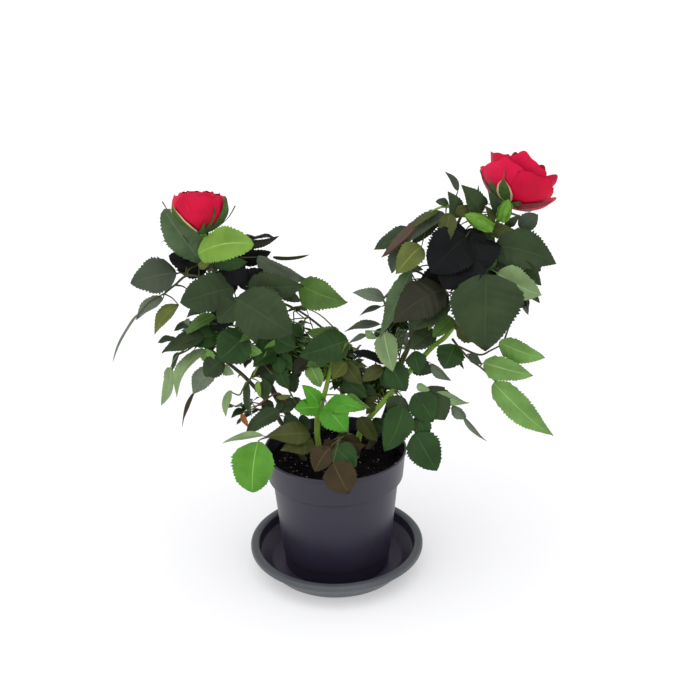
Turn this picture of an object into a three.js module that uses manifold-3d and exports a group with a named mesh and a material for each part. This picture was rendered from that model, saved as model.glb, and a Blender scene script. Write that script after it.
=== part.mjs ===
// A potted miniature rose: two tall flowering shoots over a low bushy heart, in a plastic
// nursery pot that stands in its saucer.
//
// Millimetres, +Z up. The origin is the centre of the saucer's flat underside, -Y is the front
// and +X is the side of the taller, wide open bloom.
import * as THREE from 'three';
import { mergeVertices } from 'three/addons/utils/BufferGeometryUtils.js';
import Module from 'manifold-3d';

const wasm = await Module();
wasm.setup();

// ---- driving dimensions -------------------------------------------------------------------

const GAP = 0.3; // clearance between pieces that touch
const ROUND_STEPS = 32; // facets round a turned piece

const SAUCER = {
  height: 22,
  rimRadius: 75,
  rimInner: 67.7,
  rimBand: 5.5, // height of the rolled lip
  baseRadius: 58,
  floor: 2.2,
  ledgeHeight: 11, // small step half way up the inner wall
};

const POT = {
  rimRadius: 60,
  rimHeight: 111, // above the surface the saucer stands on
  collarRadius: 57, // foot of the collar
  collarHeight: 25.5,
  shoulderRadius: 53.6, // body just under the collar
  bodyRadius: 46.6, // foot of the tapered body
  footRadius: 45.6,
  footHeight: 12,
  wall: 1.5,
};
POT.base = SAUCER.floor + GAP;

const SOIL = { top: 101.5, edgeDrop: 2.5, flatRadius: 36 };
const GROUND = SOIL.top + GAP; // where the canes are cut flat

const CANE_SIDES = 6;
const CANE_STEP = 18; // mm between rings
const FLARE = 0.55; // how much wider a cane's foot is than the cane
const FLARE_LENGTH = 9;

const BIG_LOBE = 40; // a lobe with a radius over this is subdivided once more
const SEAM = 0.9; // how far a vertex may move when the slivers a cut leaves are merged
const LOBE_UNEVEN = 0.13; // depth of its bumps, as a share of its radius
const CLEAR = 1.2; // what neighbours are grown by before they are cut away

// Each cane: its route from just under the soil's surface, and its radius at foot and tip.
const CANES = {
  cane_right: {
    route: [[16, -2, 96], [22, -3, 127], [39, -5, 152], [60, -3, 177], [79, 0, 198], [93, 2, 210], [107, 3, 235]],
    foot: 2.9,
    tip: 1.9,
    colour: 'young',
  },
  cane_right_back: {
    route: [[27, 15, 96], [42, 20, 128], [53, 19, 168], [67, 15, 207], [82, 10, 240]],
    foot: 2.3,
    tip: 1.5,
    colour: 'woody',
  },
  cane_left: {
    route: [[-16, 12, 96], [-34, 14, 124], [-53, 12, 160], [-69, 8, 200], [-84, 2, 245]],
    foot: 2.8,
    tip: 1.8,
    colour: 'woody',
  },
  cane_left_low: {
    route: [[-24, -4, 96], [-38, -1, 120], [-53, 1, 148], [-73, -2, 176], [-98, -8, 202]],
    foot: 2.0,
    tip: 1.2,
    colour: 'woody',
  },
  cane_centre: {
    route: [[-10, -8, 96], [-14, -8, 118], [-14, -6, 140], [-8, -4, 160], [-1, 0, 190]],
    foot: 2.5,
    tip: 1.7,
    colour: 'young',
  },
  cane_back: {
    route: [[2, 18, 96], [8, 31, 122], [5, 46, 152], [2, 56, 180]],
    foot: 2.2,
    tip: 1.4,
    colour: 'woody',
  },
};

// Each mass of foliage is a union of uneven lobes: centre, radii and turn (degrees about X, Y, Z).
// The first lobe is the body of the mass and the others are the leaves that reach out of it.
const MASSES = {
  crown_left: [
    { at: [-92, 0, 262], r: [38, 38, 30] },
    { at: [-119, -4, 295], r: [12, 12, 23], turn: [0, -12, 0] },
    { at: [-80, -20, 290], r: [20, 14, 14] },
    { at: [-60, 8, 286], r: [22, 10, 7], turn: [0, -4, 0] },
  ],
  wing_left: [
    { at: [-143, -2, 262], r: [23, 17, 14] },
    { at: [-137, -6, 238], r: [12, 9, 18], turn: [0, 20, 0] },
    { at: [-160, -4, 218], r: [6, 6, 38], turn: [0, 38, 0] },
  ],
  front_left: [
    { at: [-47, -27, 243], r: [33, 18, 29] },
    { at: [-82, -30, 243], r: [24, 14, 20] },
  ],
  wing_middle: [
    { at: [-13, 0, 250], r: [28, 17, 13], turn: [0, 22, 0] },
    { at: [-34, 6, 270], r: [20, 12, 8], turn: [0, 14, 0] },
  ],
  skirt_left: [
    { at: [-100, -2, 203], r: [40, 34, 21] },
    { at: [-131, -6, 176], r: [10, 9, 26], turn: [0, 14, 0] },
    { at: [-111, -10, 164], r: [9, 11, 38], turn: [0, 22, 0] },
  ],
  heart_left: [
    { at: [-45, -2, 190], r: [34, 36, 24] },
  ],
  heart_centre: [
    { at: [-4, -8, 200], r: [26, 32, 17] },
    { at: [6, 10, 178], r: [28, 30, 17] },
  ],
  heart_right: [
    { at: [34, 14, 158], r: [26, 26, 24] },
    { at: [46, 0, 206], r: [14, 14, 28] },
  ],
  fringe_left: [
    { at: [-64, -4, 150], r: [29, 24, 15], turn: [0, -14, 0] },
    { at: [-62, -14, 128], r: [30, 12, 8], turn: [0, -18, 0] },
  ],
  young_leaves: [
    { at: [2, -27, 149], r: [31, 15, 14], turn: [0, 10, 0] },
  ],
  skirt_right: [
    { at: [66, -14, 160], r: [26, 27, 26] },
    { at: [52, -30, 138], r: [17, 13, 20] },
    { at: [96, -18, 144], r: [32, 11, 12], turn: [0, 36, 0] },
    { at: [78, -38, 124], r: [17, 11, 21], turn: [0, -28, 0] },
  ],
  rim_left: [
    { at: [-65, -36, 112], r: [19, 9, 22] },
    { at: [-84, -34, 131], r: [20, 7, 6] },
  ],
  rim_front: [
    { at: [-22, -36, 127], r: [28, 15, 9], turn: [0, 6, 0] },
    { at: [4, -50, 118], r: [17, 15, 8] },
    { at: [4, -68, 106], r: [17, 8, 20] },
  ],
  shoulder_right: [
    { at: [56, -4, 250], r: [18, 24, 42], turn: [0, 16, 0] },
    { at: [48, -2, 290], r: [20, 12, 10], turn: [0, -24, 0] },
    { at: [68, -10, 300], r: [28, 14, 12], turn: [0, -42, 0] },
  ],
  wing_inner: [
    { at: [26, 24, 244], r: [17, 12, 9], turn: [0, 14, 0] },
    { at: [24, 22, 226], r: [20, 12, 12], turn: [0, -14, 0] },
  ],
  crown_right: [
    { at: [106, 0, 258], r: [44, 42, 42] },
    { at: [124, -34, 232], r: [25, 16, 36] },
    { at: [148, -8, 244], r: [20, 24, 24] },
  ],
  wing_right: [
    { at: [153, -8, 278], r: [25, 20, 18] },
    { at: [150, -4, 304], r: [14, 9, 12] },
  ],
  top_right: [
    { at: [108, -2, 308], r: [30, 20, 18] },
    { at: [91, -4, 328], r: [8, 8, 16], turn: [0, -22, 0] },
    { at: [107, -2, 324], r: [9, 9, 14] },
    { at: [133, -4, 304], r: [14, 13, 10] },
  ],
  tip_right: [
    { at: [144, -8, 192], r: [31, 13, 9], turn: [0, 8, 0] },
    { at: [160, -10, 147], r: [36, 11, 14], turn: [0, 50, 0] },
    { at: [134, -10, 180], r: [28, 12, 13], turn: [0, 20, 0] },
    { at: [100, -10, 192], r: [18, 10, 12], turn: [0, 10, 0] },
  ],
  back_left: [
    { at: [-58, 52, 216], r: [40, 26, 34] },
    { at: [-34, 66, 176], r: [30, 22, 24] },
  ],
  back_right: [
    { at: [68, 50, 222], r: [34, 28, 36] },
    { at: [46, 64, 176], r: [28, 22, 24] },
  ],
  back_low: [
    { at: [4, 66, 146], r: [40, 22, 20] },
    { at: [0, 76, 124], r: [22, 12, 16] },
  ],
};

// Each bloom: its calyx, the way it faces, how wide it is open and how deep its cup is.
const BLOOMS = {
  bloom_left: { calyx: [-100, -2, 297], faces: [0, -0.04, 1], radius: 22, depth: 28 },
  bloom_right: { calyx: [134, 1, 316], faces: [0.42, 0.55, 0.72], radius: 33, depth: 34 },
};
const CALYX_RADIUS = 4.5;
const BLOOM_STEPS = 14;

// ---- solids -------------------------------------------------------------------------------

// A closed three.js geometry as a solid that can be joined and cut.
function solidOf(geometry) {
  const bare = geometry.index ? geometry.toNonIndexed() : geometry.clone();
  bare.deleteAttribute('normal');
  bare.deleteAttribute('uv');
  const merged = mergeVertices(bare, 1e-3);
  const mesh = new wasm.Mesh({
    numProp: 3,
    vertProperties: merged.attributes.position.array,
    triVerts: new Uint32Array(merged.index.array),
  });
  return new wasm.Manifold(mesh);
}

function geometryOf(solid) {
  const mesh = solid.getMesh();
  const geometry = new THREE.BufferGeometry();
  geometry.setAttribute('position', new THREE.BufferAttribute(mesh.vertProperties, 3));
  geometry.setIndex(new THREE.BufferAttribute(mesh.triVerts, 1));
  geometry.computeVertexNormals();
  return geometry;
}

// The largest of the bodies that a cut leaves.
function mainBody(solid) {
  return solid.decompose().reduce((most, body) => (body.volume() > most.volume() ? body : most));
}

// The body of a cut cane that still stands on the ground.
function standingBody(solid) {
  const foot = (body) => body.boundingBox().min[2];
  return solid.decompose().reduce((low, body) => (foot(body) < foot(low) ? body : low));
}

// Turns a profile of [radius, height] points about the +Z axis.
function turned(profile) {
  const points = profile.map(([radius, height]) => new THREE.Vector2(radius, height));
  const geometry = new THREE.LatheGeometry(points, ROUND_STEPS);
  return geometry.rotateX(Math.PI / 2);
}

// ---- pot, saucer and soil -----------------------------------------------------------------

function saucerGeometry() {
  const { height, rimRadius, rimInner, rimBand, baseRadius, floor, ledgeHeight } = SAUCER;
  const bandFoot = height - rimBand;
  return turned([
    [0, 0],
    [baseRadius, 0],
    [rimRadius - 3.4, bandFoot - 0.8],
    [rimRadius, bandFoot],
    [rimRadius, height - 1.4],
    [rimRadius - 1.4, height],
    [rimInner + 1.2, height],
    [rimInner, height - 1.2],
    [rimInner - 1, ledgeHeight + 0.8],
    [rimInner - 2.6, ledgeHeight],
    [baseRadius - 1.6, floor],
    [0, floor],
  ]);
}

// The pot's outline from the axis under its floor to the lip, [radius, height above the table].
function potOutside(grow = 0) {
  const collarFoot = POT.rimHeight - POT.collarHeight;
  return [
    [0, POT.base],
    [POT.footRadius + grow, POT.base],
    [POT.footRadius + 0.4 + grow, POT.base + POT.footHeight],
    [POT.bodyRadius + grow, POT.base + POT.footHeight + 1],
    [POT.shoulderRadius + grow, collarFoot - 2.5],
    [POT.collarRadius + grow, collarFoot],
    [POT.rimRadius + grow, POT.rimHeight - 1.2],
    [POT.rimRadius - 0.4 + grow, POT.rimHeight + grow],
  ];
}

// The inner wall from the lip down to the floor.
function potInside(shrink = 0) {
  const { wall } = POT;
  const collarFoot = POT.rimHeight - POT.collarHeight;
  return [
    [POT.rimRadius - wall - shrink, POT.rimHeight],
    [POT.collarRadius - wall - shrink, collarFoot + 0.4],
    [POT.shoulderRadius - wall - shrink, collarFoot - 2.2],
    [POT.bodyRadius - wall - shrink, POT.base + POT.footHeight + 1],
    [POT.footRadius - wall - shrink, POT.base + wall + shrink],
    [0, POT.base + wall + shrink],
  ];
}

// The inner wall's radius at a height in the collar.
function collarInner(height) {
  const { wall } = POT;
  const collarFoot = POT.rimHeight - POT.collarHeight;
  const share = (height - collarFoot) / POT.collarHeight;
  return THREE.MathUtils.lerp(POT.collarRadius, POT.rimRadius, share) - wall;
}

function soilGeometry() {
  const edge = SOIL.top - SOIL.edgeDrop;
  const side = potInside(GAP).slice(1).reverse();
  return turned([...side, [collarInner(edge) - GAP - 0.1, edge], [SOIL.flatRadius, SOIL.top], [0, SOIL.top]]);
}

// ---- canes --------------------------------------------------------------------------------

// One tapering limb along a curve, with a root flare, cut flat at the ground.
function caneSolid({ route, foot, tip }, grow = 0) {
  const curve = new THREE.CatmullRomCurve3(route.map((p) => new THREE.Vector3(...p)));
  const length = curve.getLength();
  const rings = Math.ceil(length / CANE_STEP) + 2;
  const frames = curve.computeFrenetFrames(rings, false);
  const geometry = new THREE.CylinderGeometry(1, 1, 1, CANE_SIDES, rings);
  const place = geometry.attributes.position;
  const centre = new THREE.Vector3();
  for (let i = 0; i < place.count; i += 1) {
    const along = THREE.MathUtils.clamp(place.getY(i) + 0.5, 0, 1);
    const ring = Math.round(along * rings);
    const flare = 1 + FLARE * Math.exp(-(along * length) / FLARE_LENGTH);
    const radius = THREE.MathUtils.lerp(foot, tip, along) * flare + grow;
    curve.getPointAt(along, centre);
    centre.addScaledVector(frames.binormals[ring], place.getX(i) * radius);
    centre.addScaledVector(frames.normals[ring], place.getZ(i) * radius);
    place.setXYZ(i, centre.x, centre.y, centre.z);
  }
  const limb = solidOf(geometry);
  const outward = limb.volume() < 0 ? solidOf(flipped(geometry)) : limb;
  return outward.trimByPlane([0, 0, 1], GROUND - grow);
}

// The same geometry with its faces turned round.
function flipped(geometry) {
  const index = geometry.index.array;
  for (let i = 0; i < index.length; i += 3) [index[i + 1], index[i + 2]] = [index[i + 2], index[i + 1]];
  return geometry;
}

// ---- foliage ------------------------------------------------------------------------------

// How far an uneven lobe stands out in a direction: crossed waves whose phase follows its place.
function bump(direction, phase) {
  const { x, y, z } = direction;
  const wide = Math.sin(3.1 * x + phase) * Math.cos(2.7 * y - phase) + Math.sin(3.4 * z + 2 * phase);
  const fine = Math.sin(7.3 * x - 2 * phase) * Math.sin(6.7 * y + phase) * Math.cos(7.9 * z);
  return 1 + LOBE_UNEVEN * (0.6 * wide + 0.8 * fine);
}

function lobeSolid({ at, r, turn = [0, 0, 0] }, grow = 0) {
  const geometry = new THREE.IcosahedronGeometry(1, Math.max(...r) > BIG_LOBE ? 2 : 1);
  const place = geometry.attributes.position;
  const phase = 0.37 * at[0] + 0.23 * at[1] + 0.11 * at[2];
  const direction = new THREE.Vector3();
  for (let i = 0; i < place.count; i += 1) {
    direction.fromBufferAttribute(place, i);
    const out = bump(direction, phase);
    place.setXYZ(i, ...direction.toArray().map((d, axis) => d * (r[axis] * out + grow)));
  }
  const degrees = turn.map(THREE.MathUtils.degToRad);
  const matrix = new THREE.Matrix4().makeRotationFromEuler(new THREE.Euler(...degrees));
  matrix.setPosition(...at);
  return solidOf(geometry.applyMatrix4(matrix));
}

function massSolid(lobes, grow = 0) {
  const joined = lobes.map((lobe) => lobeSolid(lobe, grow)).reduce((mass, lobe) => mass.add(lobe));
  return joined.simplify(SEAM);
}

// ---- blooms -------------------------------------------------------------------------------

// A cup of petals: narrow at the calyx, widest near its scalloped edge, hollowed a little on top.
function bloomSolid({ calyx, faces, radius, depth }, grow = 0) {
  const profile = [
    [0, -grow],
    [CALYX_RADIUS + grow, -grow],
    [0.66 * radius + grow, 0.2 * depth],
    [0.94 * radius + grow, 0.5 * depth],
    [radius + grow, 0.78 * depth],
    [0.84 * radius + grow, depth + grow],
    [0.3 * radius, 0.9 * depth + grow],
    [0, 0.88 * depth + grow],
  ];
  const points = profile.map(([out, up]) => new THREE.Vector2(out, up));
  const geometry = new THREE.LatheGeometry(points, BLOOM_STEPS);
  const axis = new THREE.Vector3(...faces).normalize();
  const turn = new THREE.Quaternion().setFromUnitVectors(new THREE.Vector3(0, 1, 0), axis);
  geometry.applyQuaternion(turn);
  geometry.translate(...calyx);
  return solidOf(geometry);
}

// ---- assembly -----------------------------------------------------------------------------

const MATERIALS = {
  pot: new THREE.MeshStandardMaterial({ color: 0x45434c, roughness: 0.42, metalness: 0 }),
  saucer: new THREE.MeshStandardMaterial({ color: 0x3d4144, roughness: 0.5, metalness: 0 }),
  soil: new THREE.MeshStandardMaterial({ color: 0x1a1213, roughness: 0.95, metalness: 0 }),
  young: new THREE.MeshStandardMaterial({ color: 0x6f9a2c, roughness: 0.5, metalness: 0 }),
  woody: new THREE.MeshStandardMaterial({ color: 0x4a4a2c, roughness: 0.7, metalness: 0 }),
  foliage: new THREE.MeshStandardMaterial({ color: 0x2c4a26, roughness: 0.55, metalness: 0 }),
  petals: new THREE.MeshStandardMaterial({ color: 0xc8102e, roughness: 0.6, metalness: 0 }),
};

const rose = new THREE.Group();

function addMesh(name, geometry, material) {
  const mesh = new THREE.Mesh(geometry, MATERIALS[material]);
  mesh.name = name;
  rose.add(mesh);
  return mesh;
}

// Adds a solid whose mesh is centred on its own box and placed there.
function addPlaced(name, solid, material) {
  const geometry = geometryOf(solid);
  geometry.computeBoundingBox();
  const centre = geometry.boundingBox.getCenter(new THREE.Vector3()).round();
  geometry.translate(-centre.x, -centre.y, -centre.z);
  addMesh(name, geometry, material).position.copy(centre);
}

addMesh('saucer', saucerGeometry(), 'saucer');
addMesh('pot', turned([...potOutside(), ...potInside()]), 'pot');
addMesh('soil', soilGeometry(), 'soil');

// Everything above the soil keeps clear of the pot and what is in it.
const potSpace = solidOf(turned([...potOutside(CLEAR), [0, POT.rimHeight + CLEAR]]));
const blooms = Object.entries(BLOOMS);
const canes = Object.entries(CANES);
const masses = Object.entries(MASSES);

for (const [name, bloom] of blooms) addPlaced(name, bloomSolid(bloom), 'petals');

// The mass that each cane feeds: the cane ends where it enters, and every other mass is cut round it.
const FEEDS = {
  cane_right: 'crown_right',
  cane_right_back: 'crown_right',
  cane_left: 'crown_left',
  cane_left_low: 'skirt_left',
  cane_centre: 'heart_centre',
  cane_back: 'back_low',
};

const standing = {};
for (const [name, cane] of canes) {
  const fed = massSolid(MASSES[FEEDS[name]], CLEAR);
  standing[name] = standingBody(caneSolid(cane).subtract(fed));
  addPlaced(name, standing[name], cane.colour);
}

let taken = potSpace;
for (const [, bloom] of blooms) taken = taken.add(bloomSolid(bloom, CLEAR));
for (const [name, cane] of canes) {
  const fed = massSolid(MASSES[FEEDS[name]]);
  taken = taken.add(caneSolid(cane, CLEAR).subtract(fed));
}
for (const [name, lobes] of masses) {
  addPlaced(name, mainBody(massSolid(lobes).subtract(taken).simplify(SEAM)), 'foliage');
  taken = taken.add(massSolid(lobes, CLEAR));
}

export default rose;
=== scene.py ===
"""Looks of the potted miniature rose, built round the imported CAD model. Metres, +Z up, -Y the front."""

import math
import random

import bpy
import numpy as np
from mathutils import Matrix, Vector
from mathutils.bvhtree import BVHTree


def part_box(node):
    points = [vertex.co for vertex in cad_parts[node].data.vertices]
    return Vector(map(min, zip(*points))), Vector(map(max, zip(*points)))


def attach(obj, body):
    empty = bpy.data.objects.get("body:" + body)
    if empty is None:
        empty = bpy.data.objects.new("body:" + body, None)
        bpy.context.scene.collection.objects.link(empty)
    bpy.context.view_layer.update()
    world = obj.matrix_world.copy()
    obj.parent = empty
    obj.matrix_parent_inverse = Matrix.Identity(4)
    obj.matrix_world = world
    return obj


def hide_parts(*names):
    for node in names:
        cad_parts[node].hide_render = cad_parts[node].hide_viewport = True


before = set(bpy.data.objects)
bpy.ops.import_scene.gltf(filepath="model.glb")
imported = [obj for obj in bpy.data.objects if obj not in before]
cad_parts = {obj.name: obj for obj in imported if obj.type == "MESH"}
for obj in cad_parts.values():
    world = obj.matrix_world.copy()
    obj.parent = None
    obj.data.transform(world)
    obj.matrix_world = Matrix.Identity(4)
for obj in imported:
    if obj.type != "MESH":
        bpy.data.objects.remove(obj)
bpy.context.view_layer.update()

MM = 0.001
rng = random.Random(11)

# The viewpoint: where the camera stands in mm, how far it looks down and rolls in degrees, and its lens.
EYE = (13.4, -712.3, 472.3)
LOOK_DOWN = 21.1
ROLL = -0.67
LENS = 48.5

CANES = [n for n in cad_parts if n.startswith("cane_")]
BLOOMS = [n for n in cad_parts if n.startswith("bloom_")]
MASSES = [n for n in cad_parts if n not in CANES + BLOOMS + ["pot", "saucer", "soil"]]


# ---- colours and materials --------------------------------------------------------------


def linear(rgb):
    """An sRGB colour of 0 to 255 as the linear values that a shader takes."""
    share = [c / 255 for c in rgb]
    return [c / 12.92 if c <= 0.04045 else ((c + 0.055) / 1.055) ** 2.4 for c in share]


def material(name, rgb, rough=0.5, vary=0.25, scale=120, bump=0.2, grain=900, specular=0.4, **sockets):
    """A procedural material: mottled colour, uneven gloss and a fine bump, all in object space.

    The last settings are inputs of its shader, with _ for a space.
    """
    mat = bpy.data.materials.new(name)
    mat.use_nodes = True
    nodes, links = mat.node_tree.nodes, mat.node_tree.links

    def settled(node, **inputs):
        """The node, each input with its value or linked to the output that it is given."""
        for socket, value in inputs.items():
            put = node.inputs[socket.replace("_", " ")]
            if isinstance(value, bpy.types.NodeSocket):
                links.new(value, put)
            else:
                put.default_value = value
        return node

    place = nodes.new("ShaderNodeTexCoord").outputs["Object"]
    mottle, fine = [
        settled(nodes.new("ShaderNodeTexNoise"), Scale=size, Detail=detail, Vector=place).outputs["Fac"]
        for size, detail in ((scale, 4), (grain, 3))
    ]
    base = np.array(linear(rgb))
    ramp = settled(nodes.new("ShaderNodeValToRGB"), Fac=mottle)
    for element, position, share in zip(ramp.color_ramp.elements, (0.3, 0.7), (1 - vary, 1 + vary)):
        element.position = position
        element.color = [*np.clip(base * share, 0, 1), 1]
    gloss = settled(nodes.new("ShaderNodeMapRange"), Value=mottle, To_Min=max(0.05, rough - 0.08),
                    To_Max=min(1, rough + 0.08))
    relief = settled(nodes.new("ShaderNodeBump"), Height=fine, Strength=bump, Distance=0.0004)
    settled(nodes["Principled BSDF"], Base_Color=ramp.outputs["Color"], Roughness=gloss.outputs["Result"],
            Normal=relief.outputs["Normal"], Specular_IOR_Level=specular, **sockets)
    return mat


# Each tint of leaf: the upper side, the underside and the midrib.
TINTS = {
    # The near-black first tint is painted shade: it stands for leaves deep inside the crowns, where the shade
    # falls.
    "night": [(22, 23, 24), (46, 52, 47), (30, 33, 31)],
    "dark": [(47, 63, 36), (84, 100, 68), (58, 75, 45)],
    "slate": [(62, 72, 56), (96, 106, 88), (74, 86, 67)],
    "deep": [(38, 66, 26), (88, 112, 66), (54, 85, 40)],
    "mid": [(80, 112, 50), (110, 136, 80), (100, 132, 66)],
    "fresh": [(108, 148, 74), (124, 156, 96), (140, 176, 104)],
    "lime": [(114, 152, 58), (104, 138, 62), (146, 180, 90)],
    "bright": [(84, 140, 44), (108, 150, 66), (130, 178, 84)],
    "vivid": [(72, 136, 36), (92, 146, 62), (104, 164, 62)],
    "olive": [(67, 73, 33), (96, 102, 58), (82, 90, 44)],
    "yellow": [(96, 106, 48), (120, 124, 66), (122, 130, 64)],
    "bronze": [(55, 45, 23), (80, 62, 40), (82, 70, 40)],
    "russet": [(45, 46, 31), (98, 58, 46), (66, 56, 40)],
    "red": [(104, 62, 52), (84, 70, 58), (124, 84, 66)],
    "sage": [(74, 96, 62), (104, 120, 92), (92, 112, 78)],
    "grey": [(104, 115, 96), (118, 129, 111), (116, 128, 108)],
    "pale": [(124, 147, 100), (134, 158, 112), (146, 172, 120)],
    "dry": [(150, 84, 40), (166, 104, 60), (170, 114, 70)],
}
# The roughness, mottling and its scale for each of those three.
LEAF_PARTS = [("upper", 0.46, 0.22, 60), ("under", 0.65, 0.12, 90), ("rib", 0.6, 0.1, 200)]


def placed(name, data):
    """A new object in the scene."""
    thing = bpy.data.objects.new(name, data)
    bpy.context.scene.collection.objects.link(thing)
    return thing


class Pile:
    """Points and faces gathered for one joined mesh."""

    def __init__(self, name, materials, slot, replaces=()):
        self.name, self.materials, self.slot, self.replaces = name, materials, slot, replaces
        self.points, self.faces, self.paint, self.count = [], [], [], 0

    def add(self, points, faces, paint=0):
        self.points.append(np.asarray(points, float).reshape(-1, 3))
        self.faces += [[i + self.count for i in face] for face in faces]
        self.paint += list(paint) if hasattr(paint, "__len__") else [paint] * len(faces)
        self.count += len(self.points[-1])

    def add_sheet(self, grids, paints):
        """A thin closed sheet, from the grids of its two sides and the paint of each."""
        for side, grid in enumerate(grids):
            self.add(grid, grid_faces(*grid.shape[:2], turn=side == 1), paints[side])

    def build(self, smooth=True):
        mesh = bpy.data.meshes.new(self.name)
        mesh.from_pydata(np.concatenate(self.points).tolist(), [], self.faces)
        for mat in self.materials:
            mesh.materials.append(mat)
        mesh.polygons.foreach_set("material_index", self.paint)
        mesh.polygons.foreach_set("use_smooth", [smooth] * len(mesh.polygons))
        mesh.update()
        thing = placed(self.name, mesh)
        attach(thing, "root")
        if self.replaces:
            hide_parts(*self.replaces)


def leaf_pile(tint):
    gloss = 0.06 if tint == "night" else 0.18
    mats = [material(f"leaf_{tint}_{part}", rgb, rough, vary, scale, specular=gloss)
            for rgb, (part, rough, vary, scale) in zip(TINTS[tint], LEAF_PARTS)]
    return Pile(f"leaves_{tint}", mats, "foliage")


LEAVES = {tint: leaf_pile(tint) for tint in TINTS}
LEAVES["dark"].replaces = MASSES


# ---- small vector helpers ---------------------------------------------------------------


def unit(v):
    v = np.asarray(v, float)
    return v / max(np.linalg.norm(v), 1e-9)


def square_to(v, axis):
    """What is left of v at right angles to axis, at length 1."""
    v, axis = np.asarray(v, float), unit(axis)
    rest = v - axis * np.dot(v, axis)
    if np.linalg.norm(rest) < 1e-6:
        rest = np.cross(axis, (0.3, 0.9, 0.1))
    return unit(rest)


def turned_about(v, axis, degrees):
    angle, axis = math.radians(degrees), unit(axis)
    v = np.asarray(v, float)
    c = math.cos(angle)
    return v * c + np.cross(axis, v) * math.sin(angle) + axis * np.dot(axis, v) * (1 - c)


def jitter(amount):
    return np.array([rng.uniform(-amount, amount) for _ in range(3)])


def smooth_path(points, steps):
    """A Catmull-Rom curve through the points."""
    p = [np.asarray(q, float) for q in points]
    p = [2 * p[0] - p[1], *p, 2 * p[-1] - p[-2]]
    out = []
    for a, b, c, d in zip(p, p[1:], p[2:], p[3:]):
        for k in range(steps):
            t = k / steps
            bend, turn = 2 * a - 5 * b + 4 * c - d, 3 * b - a - 3 * c + d
            out.append(0.5 * (2 * b + (c - a) * t + bend * t**2 + turn * t**3))
    out.append(p[-2])
    return np.array(out)


def grid_faces(rows, columns, closed=False, turn=False):
    """Quads over a grid of points, rows by columns. A closed grid joins its last column to its first."""
    faces = []
    for r in range(rows - 1):
        for c in range(columns if closed else columns - 1):
            d = (c + 1) % columns
            quad = [r * columns + c, r * columns + d, (r + 1) * columns + d, (r + 1) * columns + c]
            faces.append([quad[0], *quad[:0:-1]] if turn else quad)
    return faces


def tube(pile, points, radii, sides, steps, relief=0.0):
    """A tapered limb round a curve. relief is the depth of its bark, as a share of its radius."""
    path = smooth_path(points, steps)
    n = len(path)
    radius = np.interp(np.linspace(0, 1, n), np.linspace(0, 1, len(radii)), radii)
    along = np.gradient(path, axis=0)
    side = square_to((0.2, -1, 0.1), along[0])
    rings = []
    phase = rng.uniform(0, 6)
    for i in range(n):
        side = square_to(side, along[i])
        other = np.cross(unit(along[i]), side)
        for k in range(sides):
            a = 2 * math.pi * k / sides
            r = radius[i] * (1 + relief * math.sin(3 * a + 0.9 * i + phase) * math.cos(1.7 * i + 2 * a))
            rings.append(path[i] + r * (math.cos(a) * side + math.sin(a) * other))
    faces = grid_faces(n, sides, closed=True)
    faces += [list(range(sides))[::-1], [(n - 1) * sides + k for k in range(sides)]]
    pile.add(rings, faces)
    return path


# ---- leaves -----------------------------------------------------------------------------

ACROSS = np.array([-1, -0.7, -0.38, -0.05, 0.05, 0.38, 0.7, 1])
FEW_ACROSS = np.array([-1, -0.55, -0.05, 0.05, 0.55, 1])
FEW_TEETH = 6
MIDRIB = 0.9 * MM


def blade_grid(base, tip, facing, width, teeth, across=ACROSS, fold=0.3, arch=0.06, curl=0.15, twist=0.0,
               saw=0.04, quilt=0.011, wave=0.05, shape=(0.55, 0.95), bow=0.0, thick=0.3 * MM):
    """The upper and under sides of a leaf blade, as two grids of points from its stalk to its tip."""
    base, tip = np.asarray(base, float), np.asarray(tip, float)
    length = np.linalg.norm(tip - base)
    y = unit(tip - base)
    z = square_to(facing, y)
    x = np.cross(y, z)
    rows = 2 * teeth
    start = np.linspace(0, 1, rows + 1)[:, None]
    across = np.where(np.abs(across) < 0.06, np.sign(across) * min(0.05, MIDRIB / width), across)
    u = across[None, :]
    side = np.abs(u)
    notch = (np.arange(rows + 1) % 2)[:, None]
    edge = side == 1
    t = start + 0.17 * side * (1 - start) * np.minimum(1, start / 0.12)
    t = np.clip(t + np.where(edge & (notch == 0), 0.4 / rows, 0), 0, 1)
    a, b = shape
    most = (a / (a + b)) ** a * (b / (a + b)) ** b
    half = np.maximum(t**a * (1 - t) ** b / most, 0.015) * width / 2
    half = half * (1 + rng.uniform(-0.05, 0.05) * np.sign(u) + 0.03 * np.sin(11 * t + rng.uniform(0, 6.3)))
    uneven = saw * np.array([rng.uniform(0.3, 1.5) for _ in range(rows + 1)])[:, None]
    out = u * half * np.where(edge, np.where(notch == 0, 1 + uneven, 1 - uneven), 1)
    inner = np.minimum(1, 8 * t * (1 - t))
    rise = np.abs(out) * fold * (1.15 - 0.5 * side)
    veins = max(3, teeth / 2.3)
    rise = rise + quilt * width * np.sin(np.pi * side) * np.cos(2 * np.pi * veins * start) * inner
    phase = rng.uniform(0, 6.3)
    rise = rise + wave * width * side**2 * np.sin(8 * t + phase * np.sign(u))
    rise = rise + arch * length * 4 * t * (1 - t) - curl * length * np.maximum(0, t - 0.55) ** 2
    turn = twist * (t - 0.4)
    sideways, up = out * np.cos(turn) - rise * np.sin(turn), out * np.sin(turn) + rise * np.cos(turn)
    sideways = sideways + bow * length * 4 * t * (1 - t)
    top = base + x * sideways[..., None] + y * (t * length)[..., None] + z * up[..., None]
    under = top - z * (thick * (1 - side**2) * inner)[..., None]
    return top, under


def leaflet(tint, base, tip, facing, width, teeth, **form):
    """One serrated leaflet in a tint: a thin closed blade with its own underside and midrib."""
    blade = blade_grid(base, tip, facing, width, teeth, **form)
    rows, columns = blade[0].shape[:2]
    middle = (columns - 1) // 2
    paints = [[2 if k == middle else side for k in range(columns - 1)] * (rows - 1) for side in (0, 1)]
    LEAVES[tint].add_sheet(blade, paints)


# ---- limbs ------------------------------------------------------------------------------


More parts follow.
